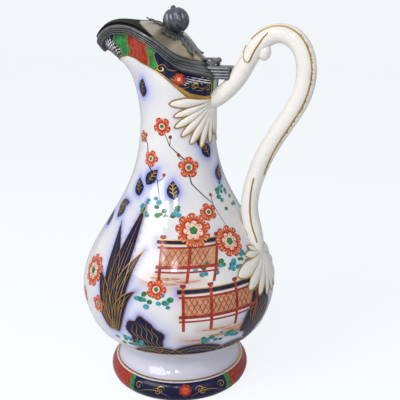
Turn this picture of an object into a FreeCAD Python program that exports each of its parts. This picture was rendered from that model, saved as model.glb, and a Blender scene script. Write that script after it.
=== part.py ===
"""A tall glazed earthenware jug with a hinged pewter lid.

The origin is the centre of the foot on the table, +Z is up, the handle points to +X and the
spout to -X.  All lengths are millimetres.
"""
import FreeCAD, Part
import math
import os

Vector = FreeCAD.Vector

# Foot: a rolled pedestal with a hollow underneath and a cove above the roll.
foot_rest_radius = 50.5
foot_bore_radius = 43.0
foot_roll_radius = 53.7
foot_roll_height = 6.5
foot_border_radius = 45.7
foot_border_height = 15.6
foot_stem_radius = 38.5
foot_height = 31.0
foot_seat_width = 9.0
foot_cove_share = 0.22

# Body: a pear that narrows to a long neck, then opens into a mouth with a pouring spout.
body_radius = 72.8
neck_radius = 26.6
neck_height = 205.0
mouth_radius = 31.0
mouth_height = 242.0
mouth_top = 274.0
spout_reach = 59.5
wall = 4.6
floor_thickness = 7.0

# Share of the way from foot to neck, and from the neck's radius to the body's radius.
bulb_shares = [(0.029, 0.496), (0.063, 0.701), (0.138, 0.903), (0.236, 1.0), (0.397, 0.877),
               (0.569, 0.494), (0.741, 0.156), (0.914, 0.015), (1.0, 0.0)]
# Share of the way from neck to mouth, and from the neck's radius to the mouth's radius.
flare_shares = [(0.405, 0.295), (0.73, 0.84), (1.0, 1.0)]
# Share of the way from neck to mouth top, and from the neck's radius to the spout's reach.
spout_shares = [(0.0, 0.0), (0.116, 0.052), (0.275, 0.128), (0.406, 0.243), (0.493, 0.407),
                (0.58, 0.635), (0.652, 0.848), (0.739, 0.97), (1.0, 1.0)]
spout_sharpness = 18

# Rim: it sweeps up from the hinge to a crest behind the spout, then droops to the lip.
rim_low = 238.4
rim_high = 265.4
# Share of the spout's reach, and share of the way from the low to the high end.
rim_shares = [(-1.2, 0.27), (-0.966, 0.61), (-0.807, 0.86), (-0.64, 0.985), (-0.47, 1.0), (-0.27, 0.93),
              (-0.05, 0.75), (0.2, 0.412), (0.4, 0.147), (0.555, 0.01), (0.9, 0.01)]

# Pewter collar, set on the rim in a thin bed of plaster.
bed_thickness = 0.8
collar_thickness = 2.4
collar_front_height = 6.0
collar_rear_height = 10.2
collar_lip_thickness = 1.6
# Depth of each reed's lower edge as a share of the collar's height, and its share of the thickness.
reed_shares = [(0.34, 1.0), (0.64, 0.6), (1.0, 0.88)]

# Hinge behind the mouth.
hinge_place = 29.0
barrel_radius = 2.0
pin_radius = 1.0
pin_clearance = 0.05
hinge_width = 26.0
lid_knuckle_width = 12.6
knuckle_clearance = 0.35
lug_reach = 40.6
lug_depth = 8.0
lug_top_rise = 1.7
lug_corner = 1.5

# Lid: a crowned plate that follows the rim.
lid_clearance = 0.3
lid_thickness = 1.8
lid_crown = 4.2
lid_tip_angle = 176.5
# The crown rises steeply from the lip and dies away gently to the hinge.
crown_front_power = 0.6
crown_rear_power = 1.7
bezel_clearance = 0.9
bezel_thickness = 1.3
bezel_depth = 4.0
bezel_end_share = 0.62
strap_thickness = 1.2
strap_length = 17.0

# Finial: fruit on a calyx, leaning a little towards the spout.
finial_place = 2.2
finial_lean = 13.5
calyx_radius = 4.4
calyx_height = 3.2
calyx_waist_share = 0.6
fruit_radius = 9.3
fruit_height = 16.6
fruit_lobes = 10
fruit_end_share = 0.42
# Radius across one lobe, from furrow to furrow.
furrow_shares = [0.88, 0.975, 1.0, 0.975]
tip_radius = 2.6
tip_height = 2.4
stud_radius = 1.5
stud_clearance = 0.05
stud_share = 0.4
nut_radius = 3.6
nut_height = 2.2
nut_sides = 6
leaf_thickness = 1.6
leaf_length = 19.0
leaf_width = 11.0
leaf_lobes = 4
leaf_lobe_share = 0.2
leaf_belly_power = 0.8
leaf_angles = [28.0, 112.0, 180.0, 248.0, 332.0]
leaf_names = ["lid_leaf_rear_far", "lid_leaf_far", "lid_leaf_front", "lid_leaf_near", "lid_leaf_rear_near"]

# Handle: a high scroll with a raised strap along its back.
handle_reach = 91.9
handle_top = 261.2
handle_thickness = 12.4
handle_width = 13.0
handle_root_height = 215.0
handle_foot_height = 104.0
back_strap_width = 8.6
back_strap_rise = 1.2
back_strap_sink_share = 0.3
back_strap_start_share = 0.15
back_strap_end_share = 0.8
back_strap_tip_share = 0.35
# Centre line: share of the reach and share of the top's height.
handle_shares = [(0.4755, 0.8794), (0.566, 0.93), (0.6855, 0.985), (0.8215, 1.0), (0.941, 0.9755),
                 (1.0, 0.919), (0.974, 0.85), (0.8705, 0.781), (0.718, 0.689), (0.6257, 0.597)]
# Lower end: height share from its foot to the body's wide neck, and its stand-off in thicknesses.
handle_landing_shares = [(0.34, 0.88), (0.14, 0.2), (0.0, -0.45)]
handle_bite_share = 0.75
bud_radius = 4.6
bud_stretch = 1.35
bud_place_share = 0.69
bud_height_share = 0.9555

# Applied leaf sprigs: one on each side of the neck, one under the handle.
sprig_thickness = 2.0
sprig_root_share = 0.35
sprig_notch_share = 0.905
neck_leaf_turn = 34.0
neck_leaf_root_turn = 8.0
neck_leaf_height = 216.0
neck_leaf_length = 32.0
neck_leaf_lobes = 7
neck_leaf_fan = 108.0
neck_leaf_aim = 232.0
base_leaf_height = 106.0
base_leaf_length = 29.0
base_leaf_lobes = 9
base_leaf_fan = 235.0
base_leaf_aim = 270.0

# How finely the smooth forms are followed: points round a section and sections along it.
section_points = 24
body_steps = 24
mouth_steps = 10
vessel_grading = 1.25
rim_samples = 18
lid_sections = 12
handle_sections = 20
handle_section_points = 12
strap_sections = 16
fruit_sections = 8

# Cuts run past what they cut by this much.
overrun = 5.0


def curve_through(points, parameters=None):
    """A smooth curve through points, measured by the given parameters."""
    curve = Part.BSplineCurve()
    if parameters:
        curve.interpolate(Points=points, Parameters=parameters)
    else:
        curve.interpolate(Points=points)
    return curve


def height_curve(rows):
    """A radius as a smooth function of height, from rows of height and radius."""
    points = [Vector(radius, 0, height) for height, radius in rows]
    return curve_through(points, [height for height, radius in rows])


def between(low, high, share):
    return low + (high - low) * share


body_rows = [(foot_height, foot_stem_radius)]
body_rows += [(between(foot_height, neck_height, h), between(neck_radius, body_radius, r))
              for h, r in bulb_shares]
body_rows += [(between(neck_height, mouth_height, h), between(neck_radius, mouth_radius, r))
              for h, r in flare_shares]
body_rows += [(mouth_top, mouth_radius)]
body_curve = height_curve(body_rows)
spout_curve = height_curve([(between(neck_height, mouth_top, h), between(neck_radius, spout_reach, r))
                            for h, r in spout_shares])
rim_rows = [(spout_reach * x, between(rim_low, rim_high, z)) for x, z in rim_shares]
rim_curve = curve_through([Vector(x, 0, z) for x, z in rim_rows], [x for x, z in rim_rows])
crest_place = max(rim_rows, key=lambda row: row[1])[0]
collar_grow = bed_thickness + collar_thickness


def grown_radius(curve, height, grow):
    """The radius at a height, moved out along the wall's normal by grow."""
    point, slope = curve.getD1(height)[:2]
    return point.x + grow * math.hypot(1, slope.x / slope.z)


def reach(angle, height, grow):
    """Distance from the axis to the wall at an angle from the handle, round the mouth or the body."""
    round_part = grown_radius(body_curve, height, grow)
    if height <= neck_height:
        return round_part
    spout_part = grown_radius(spout_curve, height, grow)
    return between(round_part, spout_part, ((1 - math.cos(angle)) / 2) ** spout_sharpness)


def rim(x):
    return rim_curve.value(x).z


def collar_height(x):
    """The collar is low at the crest and deeper towards the hinge."""
    share = (rim_high - rim(x)) / (rim_high - rim_low) if x > crest_place else 0
    return between(collar_front_height, collar_rear_height, share)


def vessel(grow, low, high, steps):
    """The jug's outer form between two heights, moved out by grow, as a filled solid."""
    wires = []
    for step in range(steps + 1):
        height = between(low, high, (step / steps) ** vessel_grading)
        points = []
        for index in range(section_points):
            angle = 2 * math.pi * index / section_points
            radius = reach(angle, height, grow)
            points.append(Vector(radius * math.cos(angle), radius * math.sin(angle), height))
        curve = Part.BSplineCurve()
        curve.interpolate(Points=points, PeriodicFlag=True)
        wires.append(Part.Wire(curve.toShape()))
    return Part.makeLoft(wires, True, False)


mouth_low = neck_height + overrun


def mouth(grow):
    """The upper end of the jug's form, tall enough for every cut along the rim."""
    return vessel(grow, mouth_low, mouth_top, mouth_steps)


def rim_line(drop):
    """The rim's side view, lowered by a drop that may change along it."""
    ends = rim_rows[0][0], rim_rows[-1][0]
    points = []
    for step in range(rim_samples + 1):
        x = between(ends[0], ends[1], step / rim_samples)
        points.append(Vector(x, 0, rim(x) - drop(x)))
    return curve_through(points)


def ribbon(upper, lower):
    """All that lies between two drops below the rim, right across the jug."""
    top = rim_line(upper)
    bottom = rim_line(lower)
    edges = [top.toShape(), Part.makeLine(top.EndPoint, bottom.EndPoint),
             bottom.toShape(), Part.makeLine(bottom.StartPoint, top.StartPoint)]
    half = spout_reach + overrun
    face = Part.Face(Part.Wire(Part.sortEdges(edges)[0]))
    face.translate(Vector(0, -half, 0))
    return face.extrude(Vector(0, 2 * half, 0))


def down_to_mouth_low(x):
    return rim(x) - mouth_low + overrun


def below_rim(drop):
    """All of the mouth's block that lies lower than the rim less a drop."""
    return ribbon(drop, down_to_mouth_low)


def above_rim(drop):
    return ribbon(lambda x: rim(x) - mouth_top - overrun, drop)


def cap(x):
    return collar_lip_thickness


def under_cap(x):
    return collar_lip_thickness + bed_thickness


def make_foot_ring():
    bore = Vector(foot_bore_radius, 0, 0)
    rest = Vector(foot_rest_radius, 0, 0)
    roll = Vector(foot_roll_radius, 0, foot_roll_height)
    border = Vector(foot_border_radius, 0, foot_border_height)
    stem = Vector(foot_stem_radius, 0, foot_height)
    seat = Vector(foot_stem_radius - foot_seat_width, 0, foot_height)
    cove_height = (foot_border_height + foot_height) / 2
    cove = Vector(between(foot_stem_radius, foot_border_radius, foot_cove_share), 0, cove_height)
    hollow = Vector((seat.x + bore.x) / 2, 0, cove_height)
    edges = [Part.makeLine(bore, rest), Part.Arc(rest, roll, border).toShape(),
             Part.Arc(border, cove, stem).toShape(), Part.makeLine(stem, seat),
             Part.makeLine(seat, hollow), Part.makeLine(hollow, bore)]
    return Part.Face(Part.Wire(edges)).revolve(Vector(0, 0, 0), Vector(0, 0, 1), 360)


def make_jug_body(outside, inside):
    return outside.cut([inside, above_rim(under_cap)])


def make_rim_bedding(jug_body, inside):
    layer = mouth(bed_thickness).common(ribbon(cap, collar_height))
    return layer.cut([jug_body, inside])


def make_rim_collar(inside):
    bands = []
    start_share = 0
    for end_share, thickness_share in reed_shares:
        band = ribbon(lambda x, s=start_share: s * collar_height(x),
                      lambda x, s=end_share: s * collar_height(x))
        bands.append(mouth(bed_thickness + collar_thickness * thickness_share).common(band))
        start_share = end_share
    collar = bands[0].fuse(bands[1:])
    return collar.cut([mouth(bed_thickness).common(below_rim(cap)), inside]).removeSplitter()


def hinge_height():
    return rim(hinge_place) + lid_clearance + barrel_radius


def barrel(radius, half_width):
    end = Vector(hinge_place, -half_width, hinge_height())
    return Part.makeCylinder(radius, 2 * half_width, end, Vector(0, 1, 0))


def make_hinge_lug(handle):
    """The fixed half of the hinge: a plate over the collar's rear with two knuckles."""
    top = rim_low + lug_top_rise
    bottom = rim_low - lug_depth
    outline = [Vector(hinge_place, 0, hinge_height()), Vector(lug_reach - lug_corner, 0, top),
               Vector(lug_reach, 0, top - lug_corner), Vector(lug_reach, 0, bottom + lug_corner),
               Vector(lug_reach - lug_corner, 0, bottom), Vector(hinge_place, 0, bottom)]
    face = Part.Face(Part.makePolygon(outline + outline[:1]))
    half = hinge_width / 2
    face.translate(Vector(0, -half, 0))
    plate = face.extrude(Vector(0, hinge_width, 0)).fuse(barrel(barrel_radius, half))
    middle = lid_knuckle_width / 2 + knuckle_clearance
    gap = Part.makeBox(2 * (barrel_radius + knuckle_clearance), 2 * middle, 2 * barrel_radius + overrun,
                       Vector(hinge_place - barrel_radius - knuckle_clearance, -middle,
                              hinge_height() - barrel_radius - lid_clearance))
    collar_form = mouth(collar_grow).common(below_rim(lambda x: 0))
    return plate.cut([gap, collar_form, handle, barrel(pin_radius + pin_clearance, half + overrun)])


def make_hinge_pin():
    return barrel(pin_radius, hinge_width / 2)


lid_tip = reach(math.pi, mouth_top, collar_grow)
lid_rear = hinge_place - barrel_radius - knuckle_clearance


def crown(x):
    """Rise of the lid's middle over its edges: nothing at the lip and behind the hinge."""
    end = hinge_place + 2 * barrel_radius
    peak = crown_front_power / (crown_front_power + crown_rear_power)
    share = (x + lid_tip) / (end + lid_tip)
    return lid_crown * (share / peak) ** crown_front_power * ((1 - share) / (1 - peak)) ** crown_rear_power


def crown_layer(low, high, rear, front_angle):
    """A crowned layer of the lid between two heights over its underside, from rear to front."""
    rear_angle = math.degrees(math.acos(rear / reach(0, mouth_top, collar_grow)))
    wires = []
    for step in range(lid_sections + 1):
        angle = math.radians(between(rear_angle, front_angle, step / lid_sections))
        distance = reach(angle, mouth_top, collar_grow)
        x = distance * math.cos(angle)
        half = distance * math.sin(angle)
        edge = rim(x) + lid_clearance
        middle = edge + crown(x)
        corners = [Vector(x, -half, edge + low), Vector(x, half, edge + low), Vector(x, half, edge + high),
                   Vector(x, -half, edge + high)]
        wires.append(Part.Wire([Part.Arc(corners[0], Vector(x, 0, middle + low), corners[1]).toShape(),
                                Part.makeLine(corners[1], corners[2]),
                                Part.Arc(corners[2], Vector(x, 0, middle + high), corners[3]).toShape(),
                                Part.makeLine(corners[3], corners[0])]))
    return Part.makeLoft(wires, True, False)


def lid_top_height():
    """Height of the lid's top where the finial stands."""
    return rim(finial_place) + lid_clearance + crown(finial_place) + lid_thickness


def on_finial(shape):
    """Stand a shape, made upright at the origin, on the lid where the finial leans."""
    shape.rotate(Vector(0, 0, 0), Vector(0, 1, 0), -finial_lean)
    shape.translate(Vector(finial_place, 0, lid_top_height()))
    return shape


def stud_hole():
    depth = lid_crown + overrun
    return on_finial(Part.makeCylinder(stud_radius + stud_clearance, 2 * depth, Vector(0, 0, -depth)))


def make_lid_cover():
    return crown_layer(0, lid_thickness, lid_rear, lid_tip_angle).cut(stud_hole())


def make_lid_bezel():
    """The flange under the lid that drops into the mouth."""
    outer = mouth(-wall - bezel_clearance)
    inner = mouth(-wall - bezel_clearance - bezel_thickness)
    wall_ring = outer.cut(inner).common(ribbon(lambda x: -lid_crown - overrun, lambda x: bezel_depth))
    half = spout_reach + overrun
    limit = Part.makeBox(half + overrun + neck_radius * bezel_end_share, 2 * half, mouth_top,
                         Vector(-half - overrun, -half, 0))
    above = crown_layer(0, lid_crown + 2 * overrun, lid_rear, lid_tip_angle)
    return wall_ring.common(limit).cut(above)


def make_lid_strap():
    """The lid's half of the hinge: a strap on its top with the middle knuckle."""
    layer = crown_layer(lid_thickness, lid_thickness + strap_thickness, hinge_place, lid_tip_angle)
    half = lid_knuckle_width / 2
    window = Part.makeBox(strap_length, lid_knuckle_width, mouth_top,
                          Vector(hinge_place - strap_length, -half, 0))
    strap = layer.common(window).fuse(barrel(barrel_radius, half))
    return strap.cut(barrel(pin_radius + pin_clearance, half + overrun))


def turned(profile):
    """A solid turned about Z from a list of radius and height pairs joined by a smooth curve."""
    side = curve_through([Vector(radius, 0, height) for radius, height in profile]).toShape()
    first = Vector(0, 0, profile[0][1])
    last = Vector(0, 0, profile[-1][1])
    edges = [Part.makeLine(first, side.Vertexes[0].Point), side,
             Part.makeLine(side.Vertexes[-1].Point, last), Part.makeLine(last, first)]
    return Part.Face(Part.Wire(Part.sortEdges(edges)[0])).revolve(Vector(0, 0, 0), Vector(0, 0, 1), 360)


def stud_in_finial():
    return Part.makeCylinder(stud_radius + stud_clearance, calyx_height + fruit_height * stud_share)


def make_calyx(lid_layers):
    """A small waisted seat, bedded on the lid."""
    waist = calyx_radius * calyx_waist_share
    shape = turned([(calyx_radius, -calyx_radius), (calyx_radius, 0), (waist, calyx_height / 2),
                    (calyx_radius, calyx_height)])
    hole = Part.makeCylinder(stud_radius + stud_clearance, 2 * (calyx_height + overrun),
                             Vector(0, 0, -calyx_radius - overrun))
    return on_finial(shape.cut(hole)).cut(lid_layers)


def make_fruit(lid_layers):
    """A ball with a shallow furrow between each two of its lobes, seated where the lid rises under it."""
    middle = calyx_height + fruit_height / 2
    end_angle = math.acos(fruit_end_share)
    wires = []
    for step in range(fruit_sections + 1):
        angle = between(-end_angle, end_angle, step / fruit_sections)
        height = middle + fruit_height / 2 * math.sin(angle) / math.sin(end_angle)
        points = []
        for index in range(fruit_lobes * len(furrow_shares)):
            turn = 2 * math.pi * index / (fruit_lobes * len(furrow_shares))
            radius = fruit_radius * math.cos(angle) * furrow_shares[index % len(furrow_shares)]
            points.append(Vector(radius * math.cos(turn), radius * math.sin(turn), height))
        curve = Part.BSplineCurve()
        curve.interpolate(Points=points, PeriodicFlag=True)
        wires.append(Part.Wire(curve.toShape()))
    return on_finial(Part.makeLoft(wires, True, False).cut(stud_in_finial())).cut(lid_layers)


def make_tip():
    base = calyx_height + fruit_height
    return on_finial(turned([(tip_radius, base), (tip_radius * calyx_waist_share, base + tip_height / 2),
                             (tip_radius * fruit_end_share, base + tip_height)]))


def make_stud():
    length = calyx_height + fruit_height * stud_share
    below = lid_thickness + nut_height + lid_crown * stud_share
    return on_finial(Part.makeCylinder(stud_radius, length + below, Vector(0, 0, -below)))


def make_nut(lid_layers):
    corners = []
    for index in range(nut_sides):
        angle = 2 * math.pi * index / nut_sides
        corners.append(Vector(nut_radius * math.cos(angle), nut_radius * math.sin(angle),
                              -lid_thickness - nut_height))
    outline = Part.makePolygon(corners + corners[:1])
    nut = Part.Face(outline).extrude(Vector(0, 0, nut_height + lid_thickness))
    hole = Part.makeCylinder(stud_radius + stud_clearance, 2 * (nut_height + overrun),
                             Vector(0, 0, -nut_height - overrun))
    return on_finial(nut.cut(hole)).cut(lid_layers)


def lobed_outline(length, width, lobes, depth_share):
    """A leaf lying along +X from the origin, with round lobes down both sides."""
    points = []
    count = 2 * lobes
    for index in range(count + 1):
        share = index / count
        swell = math.sin(math.pi * share ** leaf_belly_power) * (1 - depth_share * (index % 2))
        points.append((length * share, width / 2 * swell))
    return points


def leaf_prism(length, width, height):
    upper = lobed_outline(length, width, leaf_lobes, leaf_lobe_share)
    outline = [Vector(x, y, 0) for x, y in upper] + [Vector(x, -y, 0) for x, y in reversed(upper[1:-1])]
    return Part.Face(Part.makePolygon(outline + outline[:1])).extrude(Vector(0, 0, height))


def make_lid_leaf(angle, neighbours):
    """A leaf lying on the lid, its root tucked under the finial and the leaves laid before it."""
    layer = crown_layer(lid_thickness, lid_thickness + leaf_thickness, lid_rear, lid_tip_angle)
    blade = leaf_prism(leaf_length, leaf_width, mouth_top)
    blade.rotate(Vector(0, 0, 0), Vector(0, 0, 1), angle)
    blade.translate(Vector(finial_place, 0, 0))
    return layer.common(blade).cut(neighbours)


def handle_line():
    """The handle's centre line, from inside the neck to inside the body."""
    bite = handle_thickness * handle_bite_share
    points = [Vector(grown_radius(body_curve, handle_root_height, -bite / 2), 0, handle_root_height)]
    points += [Vector(handle_reach * x, 0, handle_top * z) for x, z in handle_shares]
    for height_share, stand_off in handle_landing_shares:
        height = between(handle_foot_height, neck_height, height_share)
        points.append(Vector(body_curve.value(height).x + handle_thickness * stand_off, 0, height))
    return curve_through(points)


def handle_section(line, share, shift, half_thickness, half_width):
    """One oval section across the handle's line, its middle shifted towards the outer side."""
    place = between(line.FirstParameter, line.LastParameter, share)
    centre, along = line.getD1(place)[:2]
    along.normalize()
    outward = Vector(-along.z, 0, along.x)
    points = []
    for index in range(handle_section_points):
        angle = 2 * math.pi * index / handle_section_points
        out = shift + half_thickness * math.cos(angle)
        points.append(centre + outward * out + Vector(0, half_width * math.sin(angle), 0))
    curve = Part.BSplineCurve()
    curve.interpolate(Points=points, PeriodicFlag=True)
    return Part.Wire(curve.toShape())


def make_back_strap(line):
    """The raised strap along the handle's back, with a rounded tongue at each end."""
    sink = handle_thickness * back_strap_sink_share
    wires = []
    for step in range(strap_sections + 1):
        share = step / strap_sections
        swell = between(back_strap_tip_share, 1, math.sqrt(math.sin(math.pi * share)))
        rise = between(-back_strap_rise, back_strap_rise, swell)
        wires.append(handle_section(line, between(back_strap_start_share, back_strap_end_share, share),
                                    handle_thickness / 2 + (rise - sink) / 2, (sink + rise) / 2,
                                    back_strap_width * swell / 2))
    return Part.makeLoft(wires, True, False)


def make_handle(outside):
    line = handle_line()
    wires = [handle_section(line, step / handle_sections, 0, handle_thickness / 2, handle_width / 2)
             for step in range(handle_sections + 1)]
    scroll = Part.makeLoft(wires, True, False).fuse(make_back_strap(line))
    return scroll.cut([outside, mouth(collar_grow).common(ribbon(lambda x: 0, collar_height))])


def make_handle_bud(handle):
    """A rounded bud under the arch, where the scroll's inner leaf curls back."""
    ball = Part.makeSphere(bud_radius)
    stretch = FreeCAD.Matrix()
    stretch.scale(1, 1, bud_stretch)
    ball = ball.transformGeometry(stretch)
    ball.translate(Vector(handle_reach * bud_place_share, 0, handle_top * bud_height_share))
    return ball.cut(handle)


def fan_prism(length, lobes, fan, aim, depth):
    """A palm of round lobes about the origin in the YZ plane, drawn out along +X."""
    def spoke(share, radius):
        angle = math.radians(aim + fan * (share - half))
        return Vector(0, radius * math.cos(angle), radius * math.sin(angle))

    half = 1 / 2
    notch = length * sprig_notch_share
    root = length * sprig_root_share
    edges = []
    for index in range(lobes):
        edges.append(Part.Arc(spoke(index / lobes, notch), spoke((index + half) / lobes, length),
                              spoke((index + 1) / lobes, notch)).toShape())
    back = spoke(half, -root)
    edges += [Part.makeLine(spoke(1, notch), back), Part.makeLine(back, spoke(0, notch))]
    return Part.Face(Part.Wire(edges)).extrude(Vector(depth, 0, 0))


def make_sprig(outside, handle, turn, height, fan):
    """A moulded leaf laid on the wall, cut where the handle covers it."""
    fan.translate(Vector(0, 0, height))
    fan.rotate(Vector(0, 0, 0), Vector(0, 0, 1), turn)
    room = base_leaf_length + neck_leaf_length
    skin = vessel(sprig_thickness, height - room, min(height + room, mouth_top), mouth_steps)
    return skin.common(fan).cut([outside, handle])


def largest(shape):
    """The main solid of a cut, without loose chips."""
    return max(shape.Solids, key=lambda solid: solid.Volume)


def main():
    os.makedirs("parts", exist_ok=True)
    outside = vessel(0, foot_height, mouth_top, body_steps)
    inside = vessel(-wall, foot_height + floor_thickness, mouth_top, body_steps)
    jug_body = make_jug_body(outside, inside)
    handle = largest(make_handle(outside))
    lid_block = crown_layer(-lid_crown, lid_thickness, lid_rear, lid_tip_angle)
    calyx = largest(make_calyx(lid_block))
    strap = make_lid_strap()
    pieces = {
        "foot_ring": make_foot_ring(),
        "jug_body": jug_body,
        "handle": handle,
        "handle_bud": largest(make_handle_bud(handle)),
        "rim_bedding": make_rim_bedding(jug_body, inside),
        "rim_collar": make_rim_collar(inside),
        "hinge_lug": make_hinge_lug(handle),
        "hinge_pin": make_hinge_pin(),
        "lid_cover": make_lid_cover(),
        "lid_bezel": make_lid_bezel(),
        "lid_strap": strap,
        "finial_calyx": calyx,
        "finial_fruit": largest(make_fruit(lid_block)),
        "finial_tip": make_tip(),
        "finial_stud": make_stud(),
        "finial_nut": largest(make_nut(crown_layer(0, lid_crown + overrun, lid_rear, lid_tip_angle))),
    }
    depth = body_radius + overrun
    root_offset = neck_radius * math.sin(math.radians(neck_leaf_turn - neck_leaf_root_turn))
    side_room = Part.makeBox(depth, depth + root_offset, mouth_top, Vector(0, -depth, -mouth_top / 2))
    for side, name in ((-1, "neck_leaf_near"), (1, "neck_leaf_far")):
        fan = fan_prism(neck_leaf_length, neck_leaf_lobes, neck_leaf_fan, neck_leaf_aim, depth)
        fan.translate(Vector(0, root_offset, 0))
        fan = fan.common(side_room)
        if side > 0:
            fan = fan.mirror(Vector(0, 0, 0), Vector(0, 1, 0))
        pieces[name] = largest(make_sprig(outside, handle, side * neck_leaf_turn, neck_leaf_height, fan))
    fan = fan_prism(base_leaf_length, base_leaf_lobes, base_leaf_fan, base_leaf_aim, depth)
    pieces["base_leaf"] = largest(make_sprig(outside, handle, 0, base_leaf_height, fan))
    neighbours = [calyx, strap, pieces["finial_fruit"]]
    for angle, name in zip(leaf_angles, leaf_names):
        pieces[name] = largest(make_lid_leaf(angle, neighbours))
        neighbours.append(pieces[name])
    for name, shape in pieces.items():
        print(name, "solids", len(shape.Solids), "valid", shape.isValid(), "volume", round(shape.Volume))
        shape.exportStep("parts/" + name + ".step")


main()
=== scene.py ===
"""Looks of a tall glazed jug with a hinged pewter lid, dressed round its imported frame.

Lengths are metres and angles degrees unless a name or comment says otherwise.
The handle is at +X, the spout at -X.
"""
import math
import random
import bmesh
import bpy
import numpy as np
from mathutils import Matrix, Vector
from mathutils.kdtree import KDTree


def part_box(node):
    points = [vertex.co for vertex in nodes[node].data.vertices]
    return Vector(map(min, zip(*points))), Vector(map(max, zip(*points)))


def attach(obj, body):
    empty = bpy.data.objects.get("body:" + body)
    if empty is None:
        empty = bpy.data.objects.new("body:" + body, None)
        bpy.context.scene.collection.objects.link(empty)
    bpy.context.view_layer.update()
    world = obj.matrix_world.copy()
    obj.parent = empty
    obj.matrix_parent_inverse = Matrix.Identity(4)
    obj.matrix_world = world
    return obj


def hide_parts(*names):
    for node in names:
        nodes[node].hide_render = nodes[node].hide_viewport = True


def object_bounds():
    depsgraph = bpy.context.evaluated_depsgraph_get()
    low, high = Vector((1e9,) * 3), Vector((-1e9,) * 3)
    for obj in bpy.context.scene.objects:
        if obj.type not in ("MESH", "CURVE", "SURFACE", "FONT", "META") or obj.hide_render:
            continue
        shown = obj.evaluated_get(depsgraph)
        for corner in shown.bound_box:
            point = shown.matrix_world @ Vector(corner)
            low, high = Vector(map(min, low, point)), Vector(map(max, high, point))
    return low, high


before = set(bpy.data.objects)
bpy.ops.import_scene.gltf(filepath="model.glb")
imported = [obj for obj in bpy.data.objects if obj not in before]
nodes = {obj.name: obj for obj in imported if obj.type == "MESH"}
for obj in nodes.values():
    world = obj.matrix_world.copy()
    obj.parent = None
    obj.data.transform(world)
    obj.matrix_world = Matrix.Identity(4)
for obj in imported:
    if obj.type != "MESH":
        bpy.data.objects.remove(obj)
cad_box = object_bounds()
mm = 0.001
full_turn = 2 * math.pi
both_sides = ((-1, "near"), (1, "far"))

# Camera at the photograph's viewing angle, and the painted side that faces it.
camera_place = (0.1825, -0.4517, 0.2813)
camera_aim = (0.0150, 0.0061, 0.1388)
camera_lens_mm = 60.9
front = -68.0

# How finely the jug's wall is read from the frame and how finely its glaze follows it.
wall_columns = 180
wall_step = 1.0 * mm
edge_step = 0.05 * mm
glaze_columns, glaze_rows = 300, 190
glaze_lift = 0.07 * mm
merge_distance = 0.01 * mm

# Edges sharper than these angles stay sharp: on CAD copies, thin films and bars, casts, and soft forms.
crease_cad, crease_fine, crease_cast, crease_soft = 35, 40, 50, 60

# The painted colours lie on the glaze in thin films, one over the other.
film = 0.08 * mm
sheet_cell = 3.5 * mm
sheet_radius = 60 * mm
sheet_rise = 0.10 * mm
sheet_cuts = 4
layer_lifts = {"wash": 0.05 * mm, "cobalt": 0.10 * mm, "green": 0.13 * mm, "turquoise": 0.14 * mm,
               "red": 0.15 * mm, "orange": 0.18 * mm, "pale": 0.21 * mm, "ink": 0.16 * mm, "gilt": 0.25 * mm,
               "eye": 0.25 * mm, "petal": 0.22 * mm, "heart": 0.23 * mm, "blush": 0.24 * mm}

# The body that a piece rides on, and its material slot.
ceramic = ("jug", "glazed_earthenware")
bedding = ("jug", "plaster")
mount = ("jug", "pewter")
cover = ("lid", "pewter")


def deselect():
    if bpy.context.mode != "OBJECT":
        bpy.ops.object.mode_set(mode="OBJECT")
    bpy.ops.object.select_all(action="DESELECT")


def take(piece):
    """Make a piece the only selected one."""
    deselect()
    piece.select_set(True)
    bpy.context.view_layer.objects.active = piece


def edit(piece):
    take(piece)
    bpy.ops.object.mode_set(mode="EDIT")
    bpy.ops.mesh.select_all(action="SELECT")


def end_edit():
    bpy.ops.object.mode_set(mode="OBJECT")


def close_seam(piece):
    """Merge the points that lie on each other."""
    edit(piece)
    bpy.ops.mesh.remove_doubles(threshold=merge_distance)
    end_edit()


def face_outward(piece):
    edit(piece)
    bpy.ops.mesh.normals_make_consistent(inside=False)
    end_edit()


def add_modifier(piece, kind, **settings):
    """Add a modifier and apply it."""
    take(piece)
    modifier = piece.modifiers.new(kind, kind)
    for name, value in settings.items():
        setattr(modifier, name, value)
    bpy.ops.object.modifier_apply(modifier=modifier.name)


def thicken(piece, thickness, offset=-1):
    """Give a sheet its thickness, under it unless the offset says otherwise."""
    add_modifier(piece, "SOLIDIFY", thickness=thickness, offset=offset)


def new_object(name, data):
    piece = bpy.data.objects.new(name, data)
    bpy.context.scene.collection.objects.link(piece)
    return piece


def join(name, pieces):
    """Make several pieces one."""
    take(pieces[0])
    for piece in pieces:
        piece.select_set(True)
    bpy.ops.object.join()
    bpy.context.object.name = name
    return bpy.context.object


def finish(piece, material, part, crease, *replaced):
    """Smooth a piece, give it its material and body, and hide the CAD nodes that it stands for."""
    take(piece)
    bpy.ops.object.shade_smooth_by_angle(angle=math.radians(crease))
    body, slot = part
    piece.data.materials.clear()
    piece.data.materials.append(material)
    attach(piece, body)
    if replaced:
        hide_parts(*replaced)
    return piece


# Sizes of the materials' patterns, and the depth of their relief.
cloud_size = 26 * mm
pool_size = 5 * mm
brush_size = 2.5 * mm
wear_size = 6 * mm
tarnish_size = 14 * mm
engraving_size = 2.2 * mm
grain_size = 0.9 * mm
pore_size = 0.8 * mm
relief_depth = 0.1 * mm
# Positions of the colour sockets of a Mix node, whose float sockets have the same names.
mix_first, mix_second, mix_out = 6, 7, 2


def colour(code):
    """Linear colour of an sRGB hex value."""
    channels = [int(code[start:start + 2], 16) / 255 for start in (1, 3, 5)]
    return (*[c / 12.92 if c <= 0.04045 else ((c + 0.055) / 1.055) ** 2.4 for c in channels], 1)


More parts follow.
